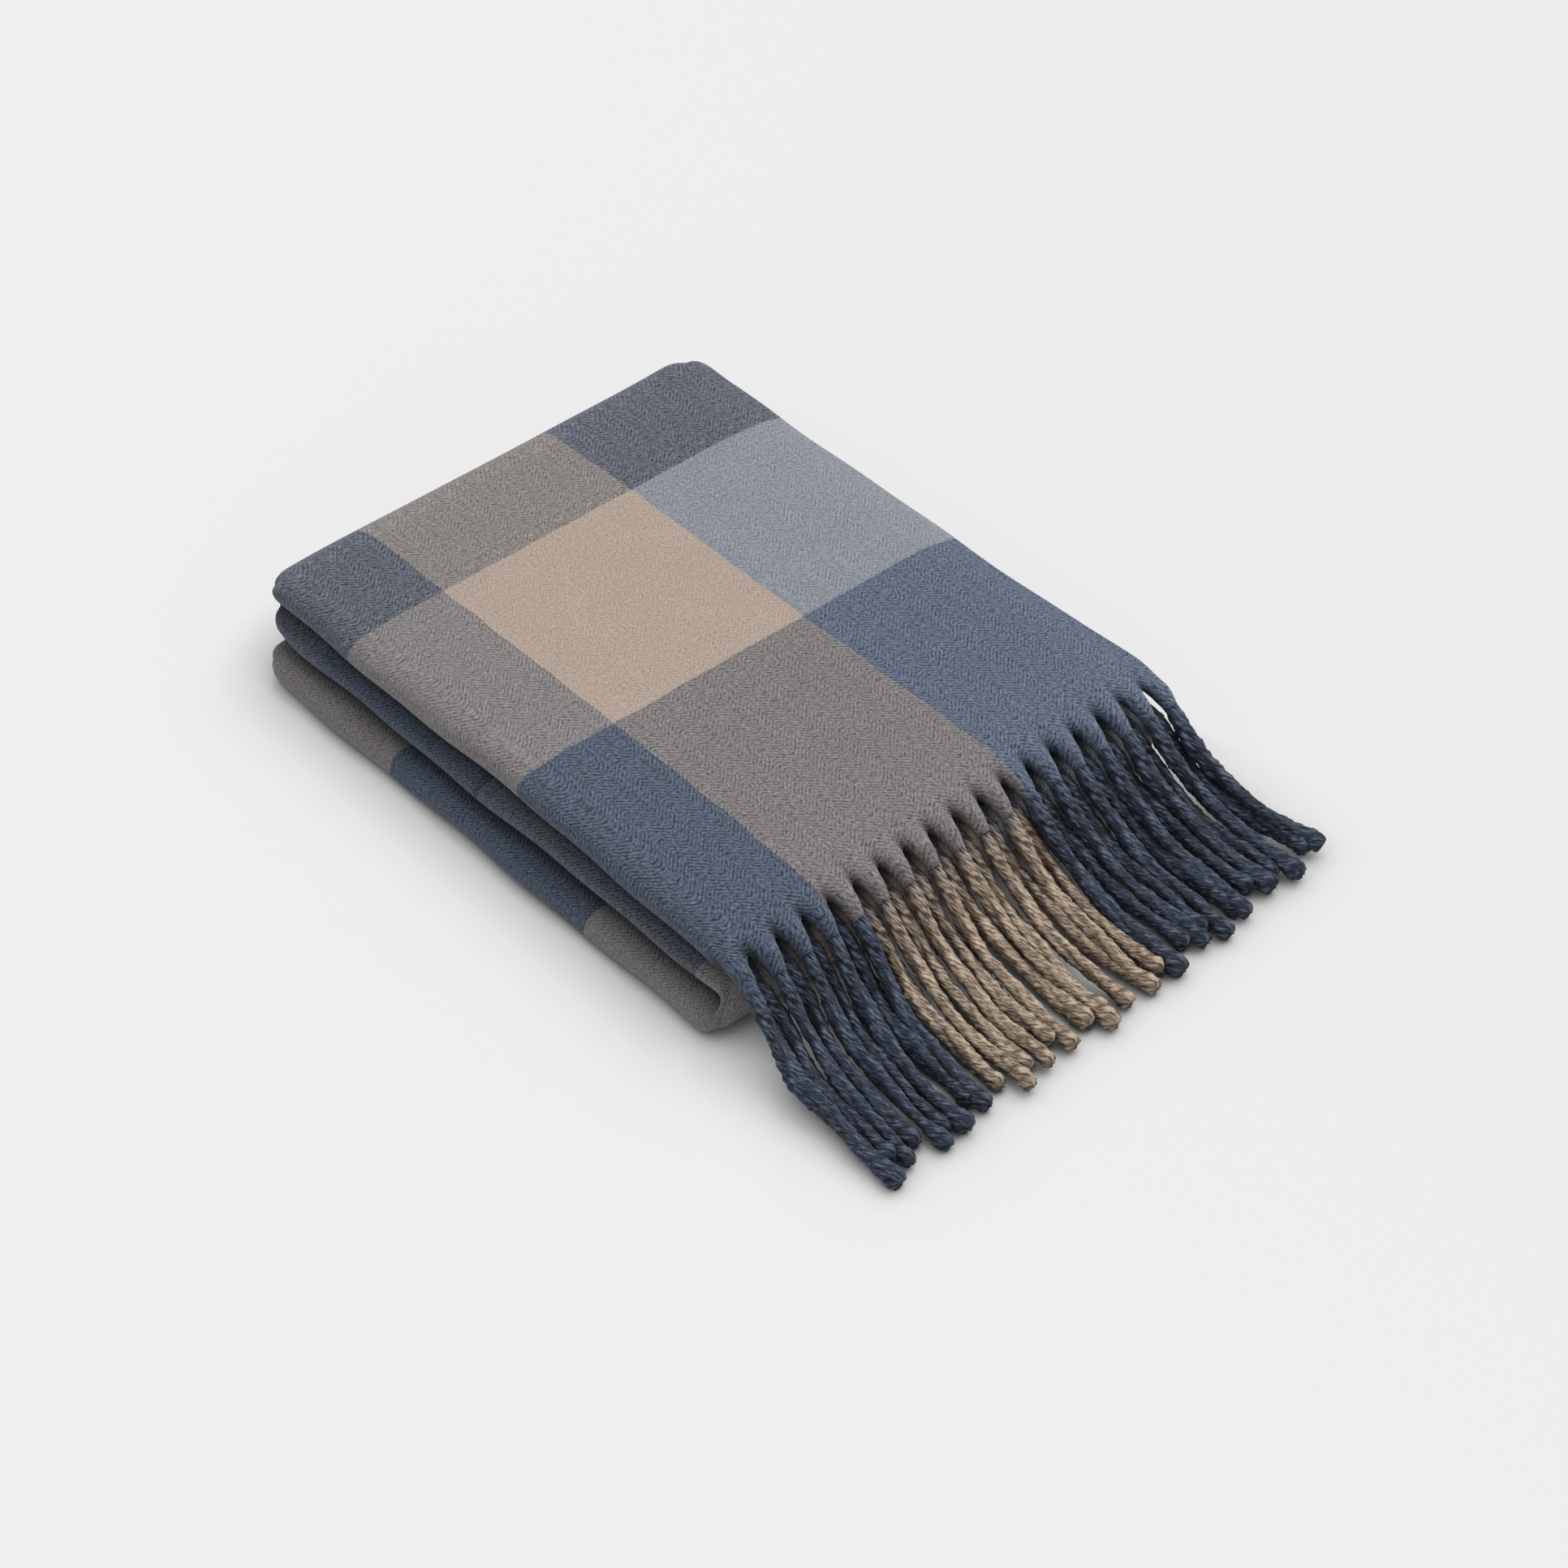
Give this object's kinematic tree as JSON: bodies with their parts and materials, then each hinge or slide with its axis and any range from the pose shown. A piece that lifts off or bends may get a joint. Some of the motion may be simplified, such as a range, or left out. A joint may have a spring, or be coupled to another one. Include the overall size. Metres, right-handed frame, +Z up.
{
  "type": "folded throw blanket",
  "caption": "Checked woven throw blanket folded into a flat packet, with a twisted tassel fringe; it unfolds like a Z into one long strip.",
  "frame": {"origin": "on the underside, in the middle of the folded packet", "axes": "+X across the crosswise folds towards the fringe, +Y across the packet, +Z up"},
  "size_m": [0.5534, 0.3485, 0.06],
  "materials": {
    "checked_cloth": "brushed herringbone weave, matt, with a soft nap",
    "navy_yarn": "twisted warp yarn, matt and slightly hairy",
    "tan_yarn": "twisted warp yarn, matt and slightly hairy"
  },
  "bodies": {
    "bottom": {"bottom_layer": "checked_cloth"},
    "middle": {"middle_layer": "checked_cloth"},
    "top": {"top_layer": "checked_cloth"},
    "fringe": {"tassel_upper_01": "navy_yarn", "tassel_upper_02": "navy_yarn", "tassel_upper_03": "navy_yarn", "tassel_upper_04": "navy_yarn", "tassel_upper_05": "navy_yarn", "tassel_upper_06": "tan_yarn", "tassel_upper_07": "tan_yarn", "tassel_upper_08": "tan_yarn", "tassel_upper_09": "tan_yarn", "tassel_upper_10": "tan_yarn", "tassel_upper_11": "tan_yarn", "tassel_upper_12": "navy_yarn", "tassel_upper_13": "navy_yarn", "tassel_upper_14": "navy_yarn", "tassel_upper_15": "navy_yarn", "tassel_upper_16": "navy_yarn", "tassel_upper_17": "navy_yarn", "tassel_upper_18": "navy_yarn", "tassel_under_01": "navy_yarn", "tassel_under_02": "navy_yarn", "tassel_under_03": "navy_yarn", "tassel_under_04": "navy_yarn", "tassel_under_05": "tan_yarn", "tassel_under_06": "tan_yarn", "tassel_under_07": "tan_yarn", "tassel_under_08": "tan_yarn", "tassel_under_09": "tan_yarn", "tassel_under_10": "tan_yarn", "tassel_under_11": "tan_yarn", "tassel_under_12": "navy_yarn", "tassel_under_13": "navy_yarn", "tassel_under_14": "navy_yarn", "tassel_under_15": "navy_yarn", "tassel_under_16": "navy_yarn", "tassel_under_17": "navy_yarn"}
  },
  "joints": [
    {"name": "front_fold", "type": "hinge", "parent": "bottom", "child": "middle", "pos_m": [0.2103, 0, 0.02], "axis": [0, 1, 0], "range_deg": [0, 180]},
    {"name": "back_fold", "type": "hinge", "parent": "middle", "child": "top", "pos_m": [-0.2063, 0, 0.038], "axis": [0, -1, 0], "range_deg": [0, 180]},
    {"name": "fringe_swing", "type": "hinge", "parent": "top", "child": "fringe", "pos_m": [0.203, 0, 0.052], "axis": [0.0558, -0.9984, 0], "range_deg": [0, 22]}
  ],
  "couplings": [
    {"joint": "back_fold", "follows": "front_fold", "ratio": 1},
    {"joint": "fringe_swing", "follows": "front_fold", "ratio": 0.1222}
  ]
}
